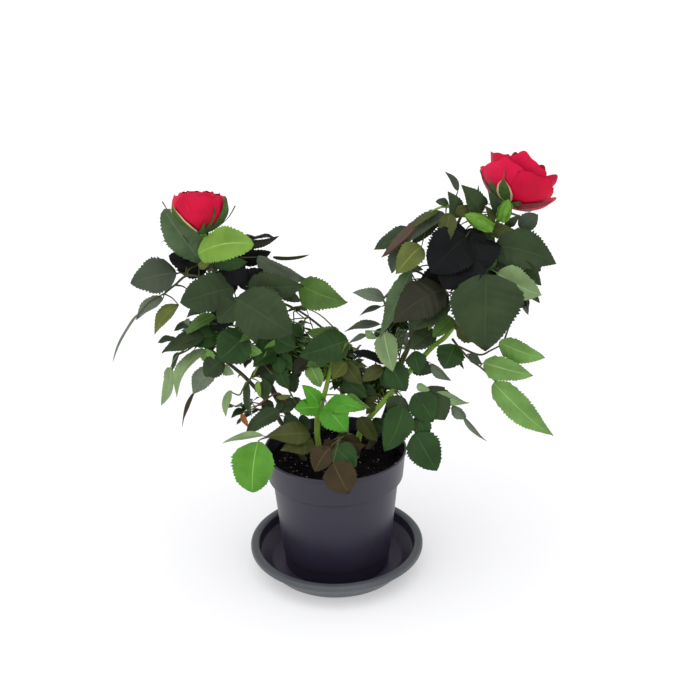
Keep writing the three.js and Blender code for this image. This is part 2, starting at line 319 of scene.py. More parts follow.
def stems(piece, replaces, bark, rgb, **looks):
    slot = "young_cane" if bark in ("cane_young", "twig_green") else "woody_cane"
    return Pile(piece, [material(bark, rgb, **looks)], slot, replaces)


YOUNG = ["cane_centre", "cane_right"]
WOODY = [n for n in CANES if n not in YOUNG]
STEMS = {
    "young": stems("canes_young", YOUNG, "cane_young", (122, 158, 46), rough=0.42, vary=0.2, scale=90,
                   bump=0.3),
    "woody": stems("canes_woody", WOODY, "cane_woody", (66, 66, 40), rough=0.65, vary=0.4, scale=140,
                   bump=0.6),
    "twig": stems("twigs", (), "twig", (70, 74, 40), rough=0.6, vary=0.35, scale=160, bump=0.4),
    "green_twig": stems("twigs_green", (), "twig_green", (104, 138, 54), rough=0.5, vary=0.25, scale=160),
    "red_twig": stems("twigs_red", (), "twig_red", (98, 56, 44), rough=0.55, vary=0.3, scale=160),
}

# Each cane's kind, radii and route in millimetres: along the CAD's cane, then on to what it carries.
ROUTES = {
    "cane_right": ("young", 2.3, 1.6, [
        (16, -2, 96), (22, -3, 127), (39, -5, 152), (60, -3, 177), (79, 0, 198), (93, 2, 210), (107, 3, 235),
        (116, 3, 265), (126, 1, 294), (132, 1, 314)]),
    "cane_right_back": ("woody", 2.2, 1.2, [
        (27, 15, 96), (42, 20, 128), (53, 19, 168), (67, 15, 207), (82, 10, 240), (92, 8, 280),
        (100, 4, 305)]),
    "cane_left": ("woody", 2.6, 1.5, [
        (-16, 12, 96), (-34, 14, 124), (-53, 12, 160), (-69, 8, 200), (-84, 2, 245), (-94, 0, 272),
        (-100, -2, 297)]),
    "cane_left_low": ("woody", 1.9, 0.9, [
        (-24, -4, 96), (-38, -1, 120), (-53, 1, 148), (-73, -2, 176), (-98, -8, 202), (-110, -9, 214)]),
    "cane_centre": ("young", 2.4, 1.3, [
        (-10, -8, 96), (-14, -8, 118), (-14, -6, 140), (-8, -4, 160), (-1, 0, 190), (2, 4, 214)]),
    "cane_back": ("woody", 2.1, 1.0, [
        (2, 18, 96), (8, 31, 122), (5, 46, 152), (2, 56, 180), (0, 57, 187)]),
}
FOOT_FLARE = 0.55
limbs = []  # the path of every limb that a leaf may grow from


def prickle(pile, at, out, size):
    """A small hooked thorn."""
    droop = np.array([0, 0, -0.35])
    route = [at, at + (out + droop * 0.2) * size * 0.5, at + (out + droop) * size]
    tube(pile, route, [size * 0.34, size * 0.16, size * 0.02], sides=5, steps=2)


def cane(name):
    kind, foot, tip, route = ROUTES[name]
    points = [np.array(p) * MM for p in route]
    radii = [foot * (1 + FOOT_FLARE), foot * 1.05, *np.linspace(foot, tip, len(route) - 2)]
    path = tube(STEMS[kind], points, np.array(radii) * MM, sides=12, relief=0.07, steps=9)
    limbs.append(path)
    for i in range(8, len(path) - 6, 5):
        along = unit(path[i + 1] - path[i])
        out = turned_about(square_to((0, -1, 0.2), along), along, rng.uniform(0, 360))
        prickle(STEMS[kind], path[i] + out * tip * MM * 0.8, out, rng.uniform(2.2, 3.6) * MM)


for name in ROUTES:
    cane(name)


def nearest_limb(point, lower=0.35):
    """The place on a limb that a stalk to the point would leave from, with a liking for places below it."""
    best, found = 1e9, None
    for path in limbs:
        gap = path - point
        cost = np.linalg.norm(gap, axis=1) + lower * np.maximum(0, gap[:, 2])
        k = int(cost.argmin())
        if cost[k] < best:
            best, found = cost[k], path[k]
    return found


def stalk(kind, start, end, thick, sag=0.02, limb=False):
    """A thin petiole or twig with a slight arch, which sag takes away from."""
    start, end = np.asarray(start, float), np.asarray(end, float)
    span = np.linalg.norm(end - start)
    if span < 1 * MM:
        return
    middle = (start + end) / 2 + np.array([0, 0, (0.08 - sag) * span]) + jitter(0.05 * span)
    radii = np.array([1.25, 1, 0.7]) * thick * MM
    path = tube(STEMS[kind], [start, middle, end], radii, sides=6, steps=4)
    if limb:
        limbs.append(path)


# ---- leaves that show from the front ----------------------------------------------------

VIEW = unit((0, 0.93, -0.36))  # which way the viewpoint looks
GAP_LEFT, GAP_RIGHT, GAP_FOOT = -28, 38, 217  # mm, where the background shows between the shoots


def seen(x, z, y):
    """A point at depth y that stands where (x, z) of the middle plane does in the front view.

    It takes millimetres and gives metres.
    """
    k = (y - EYE[1]) / -EYE[1]
    return np.array([EYE[0] + k * (x - EYE[0]), y, EYE[2] + k * (z - EYE[2])]) * MM


def in_gap(point):
    """Whether a point shows in the open space between the two shoots in the front view."""
    k = (point[1] / MM - EYE[1]) / -EYE[1]
    x, z = EYE[0] + (point[0] / MM - EYE[0]) / k, EYE[2] + (point[2] / MM - EYE[2]) / k
    return GAP_LEFT < x < GAP_RIGHT and z > GAP_FOOT


# Twigs in the front view: kind, thickness, then (x, z, y) from the limb outwards.
TWIGS = [
    ("twig", 1.0, [(-92, 256, 0), (-112, 262, -2), (-124, 254, -4), (-133, 247, -6)]),
    ("twig", 0.7, [(-112, 262, -2), (-119, 264, -2), (-122, 263, -2)]),
    ("twig", 0.8, [(-94, 214, -6), (-108, 206, -8), (-118, 199, -10), (-126, 195, -10)]),
    ("twig", 0.9, [(-88, 190, -10), (-97, 184, -12), (-110, 170, -14), (-116, 160, -14)]),
    ("twig", 0.7, [(-66, 176, -12), (-74, 166, -14), (-78, 159, -14), (-84, 161, -14)]),
    ("red_twig", 0.8, [(-38, 150, -8), (-46, 160, -14), (-56, 155, -18), (-68, 146, -20)]),
    ("twig", 0.7, [(-40, 172, -6), (-36, 160, -12), (-30, 148, -12)]),
    ("twig", 1.0, [(53, 178, 10), (56, 192, 6), (62, 200, 4), (74, 212, 4)]),
    ("twig", 0.8, [(62, 200, 4), (54, 205, 0), (48, 210, -2)]),
    ("twig", 0.9, [(96, 206, 0), (102, 198, -6), (112, 187, -8), (121, 180, -10), (133, 168, -12)]),
    ("twig", 0.8, [(100, 200, -4), (118, 192, -4), (128, 196, -6), (137, 201, -8)]),
    ("green_twig", 0.9, [(76, 158, -14), (86, 152, -16), (98, 147, -16)]),
    ("green_twig", 1.0, [(-100, 296, -2), (-96, 284, -8), (-91, 275, -14)]),
    ("twig", 0.8, [(46, 222, 10), (41, 238, 10), (40, 241, 12)]),
    ("green_twig", 1.1, [(118, 284, 2), (112, 296, -4), (106, 305, -6)]),
    ("green_twig", 1.0, [(106, 305, -6), (98, 312, -8), (86, 314, -10), (76, 310, -12)]),
    ("twig", 0.8, [(126, 290, 2), (137, 292, -2), (145, 296, -4)]),
    ("twig", 0.8, [(18, 118, -4), (12, 122, -30), (4, 118, -52)]),
    ("twig", 0.8, [(-24, 116, -10), (-44, 122, -30), (-60, 119, -40)]),
]

# Leaflets in the front view, one to a line: tint, base (x, z, y), tip (x, z, y), width, how far it is
# turned about its midrib from facing the viewpoint (180 shows the underside) where that isn't 20, then
# fold, arch and the shape of its outline where they are unusual.
FRONT = [
    # left shoot, round its bloom
    ("sage", (-101, 271, -2), (-128, 314, -10), 25, -8, 0.26, 0.05, (0.75, 0.6)),
    ("dark", (-102, 280, 4), (-114, 300, 6), 17, -20),
    ("lime", (-104, 279, -16), (-61, 287, -26), 27, -14, 0.2, 0.1, (0.55, 0.62)),
    ("deep", (-92, 273, -12), (-66, 272, -20), 16, 40),
    ("russet", (-70, 286, -4), (-40, 292, 0), 9, 50, 0.5, 0.02),
    ("olive", (-46, 276, 0), (-17, 277, 4), 6, 62, 0.5, 0.02),
    ("night", (-72, 274, 0), (-47, 280, 2), 14, 30, 0.4, 0.1),
    ("grey", (-58, 276, -8), (-18, 257, -8), 21, 50, 0.35),
    ("slate", (-122, 264, -3), (-159, 256, -8), 28, 8, 0.2, 0.04),
    ("night", (-100, 272, 0), (-125, 280, 2), 13),
    ("night", (-98, 268, 2), (-122, 266, 0), 14, -30),
    ("night", (-112, 272, -2), (-127, 278, -4), 15, 10),
    ("night", (-74, 253, -14), (-54, 266, -16), 17, 10),
    ("dark", (-42, 250, -14), (-25, 239, -18), 11),
    ("dark", (-102, 234, -14), (-117, 227, -18), 9, 30, 0.4),
    ("grey", (-134, 243, -6), (-158, 226, -8), 15, 40, 0.6, 0.02),
    ("grey", (-155, 230, -8), (-181, 188, -12), 6, 60, 0.7, 0.03),
    ("yellow", (-122, 237, -8), (-144, 213, -12), 15, 34, 0.5, 0.1),
    ("dark", (-78, 251, -18), (-121, 239, -28), 31, -10, 0.24, 0.08),
    ("night", (-84, 270, -12), (-66, 258, -18), 24, 10),
    ("night", (-76, 262, -10), (-92, 246, -14), 20, 0),
    ("dark", (-66, 252, -18), (-22, 252, -26), 24, 14, 0.26, 0.1),
    ("dark", (-76, 242, -34), (-33, 212, -46), 39, -6, 0.14, 0.08),
    ("dark", (-76, 240, -26), (-92, 222, -30), 24),
    ("mid", (-26, 253, -8), (12, 238, -14), 28, 30, 0.35, 0.12),
    ("grey", (-26, 236, -4), (10, 236, -6), 8, 76, 0.4, 0.02),
    ("mid", (-94, 228, -10), (-118, 213, -14), 12, 30, 0.4),
    ("night", (-78, 232, -8), (-98, 216, -10), 20, 10),
    ("grey", (-115, 226, -8), (-118, 210, -10), 8, 40),
    ("dark", (-104, 211, -10), (-139, 197, -16), 18, 36, 0.4, 0.08),
    ("deep", (-90, 213, -6), (-118, 206, -10), 20),
    ("deep", (-70, 212, -14), (-94, 190, -22), 31, 0, 0.15),
    ("fresh", (-104, 200, -10), (-99, 186, -12), 12),
    ("dark", (-125, 197, -8), (-132, 181, -10), 7, 40, 0.5, 0.04),
    ("pale", (-133, 184, -8), (-144, 150, -12), 13, 30, 0.4, -0.1),
    ("pale", (-103, 199, -10), (-131, 158, -16), 15, 44, 0.5, 0.16),
    ("dark", (-90, 191, -14), (-106, 176, -18), 19, 10, 0.25, 0.04),
    ("grey", (-98, 182, -16), (-117, 160, -18), 17, 12, 0.3, 0.04),
    ("bronze", (-115, 162, -14), (-128, 130, -18), 5, 40, 0.6, 0.05),
    ("pale", (-92, 186, -10), (-82, 177, -12), 10, 30),
    ("pale", (-85, 163, -14), (-91, 139, -16), 8, 28, 0.35, 0.08),
    ("dark", (-71, 171, -12), (-70, 139, -16), 10, 44, 0.5),
    ("dry", (-77, 142, -20), (-72, 129, -22), 6, 30),
    ("russet", (-50, 185, -8), (-68, 175, -10), 9, 30),
    ("yellow", (-62, 171, -10), (-60, 158, -12), 8, 30),
    ("dark", (-46, 144, -18), (-75, 123, -24), 15, 20, 0.3),
    ("dark", (-112, 222, -8), (-128, 216, -10), 9, 40),
    ("mid", (-90, 222, -8), (-108, 224, -8), 9, 50),
    ("russet", (-96, 278, 2), (-112, 268, -2), 13, 30),
    ("yellow", (-104, 268, -6), (-94, 274, -10), 7),
    ("olive", (-92, 264, -8), (-84, 254, -12), 11, 30),
    ("mid", (-56, 214, -14), (-76, 206, -18), 12, 40),
    # the low heart of the bush
    ("deep", (-50, 212, -6), (-30, 200, -14), 20, 10),
    ("deep", (-42, 208, -4), (-62, 200, -10), 18),
    ("fresh", (-72, 202, -8), (-58, 196, -12), 11),
    ("mid", (-54, 197, -10), (-47, 207, -12), 8, 30),
    ("deep", (-47, 197, -6), (-66, 184, -14), 15, 10),
    ("deep", (-42, 195, -6), (-34, 180, -12), 13),
    ("deep", (-46, 192, -8), (-43, 177, -14), 12, 0),
    ("olive", (-58, 181, -8), (-69, 174, -10), 7, 30),
    ("dark", (-54, 185, -4), (-51, 166, -10), 14, 10),
    ("deep", (-46, 184, -8), (-37, 163, -14), 13),
    ("dark", (-36, 178, -2), (-33, 160, -6), 13, 10),
    ("dark", (-58, 190, -8), (-66, 203, -4), 15),
    ("russet", (-19, 190, -4), (-33, 177, -10), 13),
    ("fresh", (-20, 186, -8), (-11, 165, -14), 15, 24),
    ("mid", (-6, 188, -6), (-22, 184, -12), 12, 30),
    ("deep", (12, 206, -10), (-28, 193, -22), 27, 8, 0.2, 0.08),
    ("yellow", (12, 204, -14), (4, 190, -20), 6, 50),
    ("yellow", (10, 187, -6), (-1, 172, -12), 14, 24),
    ("olive", (8, 188, -4), (23, 166, -10), 15),
    ("deep", (8, 171, -2), (28, 155, -10), 15, 10),
    ("dark", (22, 166, 0), (36, 156, -6), 12),
    ("olive", (40, 182, -4), (22, 170, -10), 13),
    ("night", (42, 186, -2), (14, 196, -8), 10, 36, 0.5, 0.02),
    ("fresh", (10, 157, -8), (29, 145, -14), 12, 30),
    ("olive", (26, 150, -4), (36, 157, -6), 8, 30),
    ("olive", (34, 150, -2), (26, 140, -8), 8),
    ("olive", (20, 137, -10), (35, 114, -18), 15),
    ("dark", (32, 136, -2), (44, 122, -8), 12),
    ("deep", (46, 186, -6), (59, 160, -12), 21, 10),
    ("deep", (38, 176, -2), (54, 166, -6), 15),
    ("deep", (66, 196, -6), (70, 176, -14), 17),
    ("dark", (62, 186, 0), (82, 178, -6), 15),
    ("grey", (79, 185, -6), (96, 169, -10), 10, 40, 0.5, 0.04),
    ("night", (54, 146, -6), (40, 138, -10), 14, 10),
    ("dark", (-58, 154, -6), (-50, 139, -12), 11, 10),
    ("dark", (-32, 153, -8), (-50, 143, -14), 14),
    ("dark", (-56, 172, -14), (-58, 154, -18), 13),
    ("lime", (-62, 171, -18), (-61, 156, -20), 5),
    ("yellow", (-48, 156, -14), (-34, 158, -16), 5, 30),
    ("dark", (-42, 139, -10), (-27, 128, -16), 14),
    ("dark", (-28, 140, -8), (-20, 127, -12), 11),
    ("dark", (-34, 156, -8), (-26, 146, -12), 10),
    # the bright young leaves in front
    ("vivid", (-12, 147, -24), (-33, 146, -34), 17, 26, 0.25, 0.05),
    ("vivid", (-13, 150, -22), (-26, 167, -28), 14, 10),
    ("vivid", (-9, 148, -26), (10, 124, -40), 24, -10, 0.2, 0.1),
    ("vivid", (-7, 149, -24), (25, 144, -34), 17, -30, 0.2),
    # the fringe at the pot's rim
    ("olive", (-21, 123, -30), (-58, 121, -40), 20, 34, 0.2, 0.1),
    ("olive", (-19, 117, -32), (-46, 108, -46), 18, 20, 0.2),
    ("pale", (-60, 121, -36), (-95, 115, -40), 8, 50, 0.5),
    ("bright", (-65, 116, -42), (-72, 67, -50), 34, 4, 0.22, 0.06, (0.52, 0.72)),
    ("bronze", (2, 118, -36), (26, 111, -50), 17, 30),
    ("bronze", (-4, 110, -48), (-18, 87, -58), 19, 10),
    ("deep", (0, 110, -52), (17, 91, -62), 22, 10, 0.2),
    ("bronze", (-2, 95, -62), (11, 65, -69), 27, 0, 0.2, 0.04),
    ("bronze", (-2, 116, -40), (-10, 101, -52), 15, -20),
    ("russet", (12, 121, -24), (20, 101, -32), 14),
    # right skirt
    ("dark", (76, 164, -14), (92, 134, -24), 27, 8, 0.18),
    ("deep", (66, 158, -16), (82, 132, -26), 25, 0, 0.18),
    ("deep", (70, 140, -22), (77, 117, -30), 16, 10),
    ("deep", (67, 122, -30), (86, 86, -46), 28, 6, 0.2),
    ("deep", (57, 146, -22), (41, 105, -38), 25, -4, 0.2),
    ("dark", (56, 156, -14), (46, 136, -22), 20, 0),
    ("pale", (84, 159, -18), (112, 149, -22), 13, 40, 0.45),
    ("grey", (98, 147, -16), (109, 134, -18), 12, 40, 0.5, 0.04),
    ("grey", (107, 138, -18), (128, 113, -22), 6, 50, 0.6),
    ("pale", (68, 166, -14), (79, 161, -18), 8, 30),
    ("deep", (98, 201, -6), (90, 180, -14), 23, 0, 0.15),
    ("dark", (99, 200, -4), (106, 179, -8), 6, 40, 0.5, 0.04),
    ("slate", (110, 193, -8), (121, 183, -10), 8, 30, 0.5, 0.04),
    ("pale", (41, 212, -6), (48, 178, -16), 19, 10, 0.25, 0.04),
    ("pale", (26, 214, 4), (35, 207, 2), 8, 40),
    ("slate", (38, 219, 8), (9, 214, 6), 12, 56, 0.4, 0.05),
    ("grey", (27, 210, 6), (12, 203, 4), 7, 50, 0.5, 0.04),
    ("slate", (39, 234, 10), (21, 227, 8), 8, 56, 0.5, 0.04),
    ("grey", (41, 240, 10), (16, 246, 8), 13, 30, 0.35, 0.05),
    ("fresh", (134, 203, -8), (172, 188, -16), 20, 30, 0.25),
    ("fresh", (122, 185, -12), (163, 173, -20), 21, 24, 0.22, 0.08),
    ("fresh", (131, 167, -14), (183, 117, -26), 23, 22, 0.25, 0.05),
    # right shoot: shoulder
    ("sage", (62, 264, -14), (37, 207, -20), 17, 34, 0.4),
    ("slate", (60, 256, -8), (42, 228, -10), 18, 60, 0.4, 0.04),
    ("slate", (58, 284, -12), (46, 262, -16), 17, 50, 0.4, 0.04),
    ("yellow", (70, 283, -18), (50, 261, -28), 20, 4, 0.24, 0.12),
    ("dark", (63, 295, -6), (33, 281, -10), 17, 30, 0.3, 0.08),
    ("red", (68, 303, -14), (38, 275, -20), 11, 152, 0.5, -0.06),
    ("slate", (88, 308, -10), (55, 284, -16), 17, 34, 0.35, 0.1),
    ("olive", (82, 310, -12), (60, 296, -16), 6, 40, 0.5, 0.08),
    ("dark", (84, 306, -8), (62, 284, -12), 14, 30, 0.3),
    ("olive", (91, 309, -14), (86, 280, -24), 14, 10, 0.35, 0.08),
    ("russet", (88, 248, -22), (48, 221, -34), 32, 8, 0.16, 0.08),
    ("dark", (90, 244, -18), (62, 214, -28), 24, 10),
    ("mid", (96, 224, -10), (80, 207, -16), 15, 24),
    ("olive", (98, 222, -12), (108, 208, -16), 9, 30),
    ("night", (88, 258, -12), (68, 250, -18), 20, 10),
    ("dark", (82, 213, -10), (62, 198, -18), 18),
    ("yellow", (90, 234, -12), (76, 214, -18), 10, 30),
    ("olive", (100, 216, -10), (116, 204, -14), 15),
    ("yellow", (99, 226, -12), (106, 214, -16), 8, 30),
    # right shoot: crown
    # The near-black leaflets here are painted shade, for the dark hollow of the crown.
    ("night", (104, 290, -20), (78, 262, -34), 38, 0, 0.14, 0.08),
    ("night", (110, 282, -18), (88, 248, -36), 40, 10, 0.14, 0.08),
    ("night", (112, 290, -14), (118, 262, -30), 34, -10, 0.14),
    ("night", (86, 286, -6), (76, 266, -14), 16, 0),
    ("night", (100, 300, -8), (88, 282, -16), 22, 10),
    ("night", (104, 296, -10), (116, 276, -18), 22, 0),
    ("dark", (121, 260, -34), (123, 195, -50), 54, -4, 0.36, 0.05, (0.46, 0.92)),
    ("dark", (127, 283, -10), (176, 268, -18), 31, 6, 0.24, 0.05),
    ("slate", (128, 282, -6), (164, 262, -12), 30, 20, 0.2),
    ("pale", (130, 261, -22), (166, 242, -28), 25, 10, 0.25, 0.05),
    ("olive", (124, 298, -6), (146, 291, -10), 13, 30),
    ("slate", (145, 297, -4), (159, 307, -6), 15, 8, 0.2, 0.04),
    ("mid", (124, 276, -12), (122, 262, -20), 12),
    ("dark", (116, 309, -6), (100, 331, -8), 17, 16, 0.3, 0.04),
    ("dark", (99, 306, -8), (90, 326, -10), 14, 20, 0.3, 0.04),
    ("slate", (97, 326, -8), (87, 341, -8), 7, 30, 0.5, 0.04),
    ("dark", (90, 316, -8), (80, 318, -8), 8, 30),
    ("olive", (96, 308, -10), (106, 315, -10), 10),
    ("dark", (120, 316, -2), (113, 320, -4), 7),
    ("dark", (129, 306, -6), (120, 325, -8), 10, 20, 0.4),
    ("olive", (125, 300, -8), (118, 315, -10), 9, 30, 0.4),
    ("dark", (134, 298, -4), (145, 307, -8), 8, 30, 0.4),
    ("dark", (146, 270, -16), (165, 250, -22), 14, 30, 0.3),
    # between the shoots
    ("mid", (7, 207, 4), (-22, 213, 2), 17),
    ("deep", (-24, 208, 6), (-46, 216, 4), 16),
    ("yellow", (14, 200, 0), (3, 208, -2), 6, 30),
]


LONG, BROAD = (0.5, 0.95), (0.58, 0.85)  # outlines: how a blade widens from its stalk and narrows again
TOOTH = 2.7 * MM
LONGEST_STALK = 45 * MM
YOUNG_TINTS = ("lime", "vivid", "fresh", "pale", "mid")


def front_leaf(tint, base, tip, width, turn=20, fold=0.28, arch=0.06, shape=None):
    """A leaflet of the front view, on a stalk from the nearest limb where one is near enough."""
    start, end = seen(*base), seen(*tip)
    along = end - start
    facing = turned_about(square_to(-VIEW, along), along, turn)
    span = np.linalg.norm(along)
    teeth = int(np.clip(span / TOOTH, 5, 20))
    saw = 0.025 if width < 9 else 0.04 if width > 45 else 0.06
    shape = shape or (BROAD if width * MM > 0.7 * span else LONG)
    leaflet(tint, start, end, facing, width * MM, teeth, fold=fold, arch=arch, curl=0.12,
            twist=rng.uniform(-0.35, 0.35), bow=rng.uniform(-0.05, 0.05), saw=saw, shape=shape)
    at = nearest_limb(start)
    if np.linalg.norm(start - at) < LONGEST_STALK:
        stalk("green_twig" if tint in YOUNG_TINTS else "twig", at, start, 0.55)


for kind, thick, route in TWIGS:
    radii = np.array([1.2, 1, 0.8]) * thick * MM
    limbs.append(tube(STEMS[kind], [seen(*p) for p in route], radii, sides=7, relief=0.05, steps=5))

for row in FRONT:
    front_leaf(*row)


# ---- growth behind and inside the masses ------------------------------------------------

GOLDEN = 137.5  # degrees from one leaf on a twig to the next
TWIG_RADII = np.array([0.9, 0.7, 0.5]) * MM


class Mass:
    """A CAD mass of foliage, as a space that leaves grow in."""

    def __init__(self, name):
        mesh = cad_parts[name].data
        corners = [v.co for v in mesh.vertices]
        self.tree = BVHTree.FromPolygons(corners, [p.vertices for p in mesh.polygons])
        points = np.array(corners)
        self.low, self.high, self.centre = points.min(0), points.max(0), points.mean(0)

    def depth(self, point):
        """How far inside the mass a point is, less than 0 outside it."""
        near, normal, _, _ = self.tree.find_nearest(Vector(point))
        return -(Vector(point) - near).dot(normal)

    def inner_point(self, clear, front=-1):
        """A point that deep inside the mass and behind the front plane, or None where there is no room."""
        for _ in range(60):
            point = np.array([rng.uniform(a, b) for a, b in zip(self.low, self.high)])
            if point[1] > front and self.depth(point) > clear:
                return point
        return None


# How each mass fills: its tints, how many twigs it grows, how long its leaflets are, and the least y
# that they reach. A mass that isn't here has only the leaflets listed above.
FILL = {
    "crown_left": ("dark slate deep night olive", 26, 23, -4),
    "wing_left": ("slate dark", 2, 20, -2),
    "front_left": ("dark night deep", 5, 23, -16),
    "skirt_left": ("deep dark mid", 18, 18, 0),
    "heart_left": ("deep dark mid olive", 24, 14, -4),
    "heart_centre": ("deep mid dark yellow", 28, 14, 0),
    "heart_right": ("deep dark mid olive", 20, 14, 2),
    "fringe_left": ("dark olive deep", 10, 13, -4),
    "young_leaves": ("vivid mid", 1, 16, -20),
    "skirt_right": ("deep dark mid", 16, 18, -4),
    "shoulder_right": ("dark slate night", 13, 21, 0),
    "crown_right": ("dark slate dark night deep", 34, 24, -6),
    "wing_right": ("dark slate", 5, 23, 0),
    "top_right": ("dark slate mid", 8, 15, 2),
    "tip_right": ("fresh mid", 3, 22, -2),
    "back_left": ("dark deep mid slate", 22, 24, 10),
    "back_right": ("dark deep slate mid", 22, 24, 10),
    "back_low": ("deep mid fresh", 15, 22, 30),
}


def small_leaflet(tint, base, tip, facing, width):
    """A leaflet with few faces and bends of its own."""
    leaflet(tint, base, tip, facing, width, FEW_TEETH, across=FEW_ACROSS, fold=rng.uniform(0.1, 0.5),
            arch=rng.uniform(0, 0.12), curl=rng.uniform(0.1, 0.6), twist=rng.uniform(-0.5, 0.5),
            bow=rng.uniform(-0.08, 0.08), wave=rng.uniform(0.02, 0.09))


def spray(tint, at, aim, size, pairs, mass, front):
    """A compound leaf: a rachis with pairs of leaflets and one at its end, kept inside its mass."""
    at, aim = np.asarray(at, float), np.asarray(aim, float)
    along = unit(aim - at)
    reach = size * (0.55 + 0.62 * pairs)
    end = at + along * reach + np.array([0, 0, -0.12 * reach])
    tip = end + unit(along + np.array([0, 0, -0.35])) * size
    if mass.depth(tip) < -3 * MM or mass.depth(end) < -1 * MM or min(tip[1], end[1]) < front or in_gap(tip):
        return False
    outward = unit(unit(along * np.array([1, 1, 0.2])) * 0.5 + np.array([0, 0, 0.8]) + jitter(0.3))
    stalk("twig" if tint in ("night", "dark", "slate") else "green_twig", at, end, 0.5)
    small_leaflet(tint, end, tip, outward, size * rng.uniform(0.62, 0.74))
    side = unit(np.cross(along, outward))
    for pair in range(pairs):
        share = 1 - (pair + 0.45) * 0.62 * size / reach
        root = at + (end - at) * share
        small = size * (0.86 - 0.12 * pair) * rng.uniform(0.9, 1.05)
        for hand in (-1, 1):
            out = unit(along * 0.55 + side * hand + np.array([0, 0, -0.15]) + jitter(0.12))
            reached = root + out * small
            if mass.depth(reached) < -4 * MM or reached[1] < front or in_gap(reached):
                continue
            small_leaflet(tint, root, reached, outward + jitter(0.25), small * rng.uniform(0.6, 0.72))
    return True


def fill(name):
    """Grows a mass: twigs from the nearest limbs to places inside it, with a compound leaf at every turn."""
    tints, twigs, size, front = FILL[name]
    mass = Mass(name)
    root = nearest_limb(mass.centre)
    if mass.depth(root) < 4 * MM:
        heart = mass.inner_point(6 * MM)
        if heart is not None:
            stalk("twig", root, heart, 1.0, sag=0, limb=True)
    for _ in range(twigs):
        goal = mass.inner_point(5 * MM, front * MM)
        if goal is None:
            continue
        start = nearest_limb(goal)
        span = np.linalg.norm(goal - start)
        bend = start + (goal - start) * 0.5 + np.array([0, 0, 0.1 * span]) + jitter(0.08 * span)
        path = smooth_path([start, bend, goal], 4)
        spin, last = rng.uniform(0, 360), 0
        for k in range(2, len(path), 2):
            along = unit(path[k] - path[k - 1])
            for attempt in range(6):
                out = turned_about(square_to((0.3, 1, 0.4), along), along, spin + attempt * 47)
                aim = path[k] + unit(out + 0.5 * along + np.array([0, 0, 0.25]) + jitter(0.25))
                tint = rng.choice(tints.split())
                if spray(tint, path[k], aim, size * MM * rng.uniform(0.8, 1.12), rng.choice((1, 2, 2)), mass,
                         front * MM):
                    last = k
                    break
            spin += GOLDEN
        if last:
            grown_path = path[: last + 1]
            tube(STEMS["twig"], grown_path, TWIG_RADII, sides=6, steps=1)
            limbs.append(grown_path)


for name in MASSES:
    if name in FILL:
        fill(name)


# ---- blooms -----------------------------------------------------------------------------

rng.seed(7)

ROUND = 160  # facets round the pot and the saucer
# The darker red of the inner layers is painted shade, for the inside of the bloom.
CRIMSON, INNER_SHADE = 0, 1
PETALS = Pile("petals", [
    material(name, rgb, rough=0.55, vary=vary, scale=70, bump=0.15, specular=0.15)
    for name, rgb, vary in (("petal_crimson", (196, 5, 52), 0.16), ("petal_painted_shade", (160, 4, 38), 0.18),
                            ("petal_rose", (212, 10, 64), 0.14))
], "petals", BLOOMS)
GREEN_CUP = 2
CALYX = Pile("calyces", [
    material("sepal_green", (66, 92, 44), rough=0.6, vary=0.25, scale=260, specular=0.15),
    material("sepal_margin", (214, 176, 140), rough=0.6, vary=0.1, scale=260, specular=0.15),
    material("calyx_green", (96, 142, 46), rough=0.5, vary=0.2, scale=260, specular=0.2),
    material("sepal_red", (122, 44, 46), rough=0.6, vary=0.2, scale=260, specular=0.15),
], "foliage")


def wrapped(pile, paints, centre, axis, azimuth, profile, halves, ruffle=0.0, lobes=0.0, stand=0.0,
            point=0.16, thick=0.35, rows=19, columns=25):
    """A petal or sepal wrapped round a flower's axis, as a closed thin sheet.

    profile is (radius, height) from its claw to its edge and halves its half width on the way, in mm.
    stand moves it off the axis, point rounds its edge down to its sides, lobes scallops the edge, and
    paints runs across it from side to side.
    """
    axis = unit(axis)
    radial = turned_about(square_to((1, 0, 0), axis), axis, azimuth)
    across = np.cross(axis, radial)
    v = np.linspace(0, 1, rows)[:, None]
    u = np.linspace(-1, 1, columns)[None, :]
    phase = rng.uniform(0, 6.3)
    scallops = lobes * (np.sin(6 * u + phase) + 0.6 * np.sin(11 * u + 2 * phase))
    reach = v * (0.96 - point * np.abs(u) ** 4 + scallops * v**2)
    outline = smooth_path([(r, h, 0) for r, h in profile], 5)
    knots = np.linspace(0, 1, len(outline))
    radius = np.interp(reach, knots, outline[:, 0]) + stand * v + ruffle * np.sin(4.5 * u + phase) * v**4
    height = np.interp(reach, knots, outline[:, 1]) + 0.6 * ruffle * np.cos(6 * u + phase) * v**5
    half = np.interp(v, np.linspace(0, 1, len(halves)), halves)
    angle = u * half / np.maximum(np.interp(v, knots, outline[:, 0]), 6)
    outward = radial * np.cos(angle)[..., None] + across * np.sin(angle)[..., None]
    outer = np.asarray(centre) + (axis * height[..., None] + outward * radius[..., None]) * MM
    inner = outer - outward * (thick * MM * (1 - np.abs(u) ** 4) * np.minimum(1, 6 * v * (1 - v)))[..., None]
    strips = [paints[int(k * len(paints) / (columns - 1))] for k in range(columns - 1)]
    pile.add_sheet((outer, inner), [strips * (rows - 1)] * 2)


def turned(pile, profile, steps=ROUND, paint=0, axis=(0, 0, 1), at=(0, 0, 0), ribs=0, depth=0.0):
    """A profile of (radius, height) turned about an axis. ribs adds that many shallow ridges."""
    axis = unit(axis)
    first = square_to((1, 0, 0), axis)
    second = np.cross(axis, first)
    points = []
    for radius, height in profile:
        for k in range(steps):
            a = 2 * math.pi * k / steps
            r = radius * (1 + depth * math.cos(ribs * a))
            points.append(np.asarray(at) + axis * height + r * (math.cos(a) * first + math.sin(a) * second))
    pile.add(points, grid_faces(len(profile), steps, closed=True), paint)


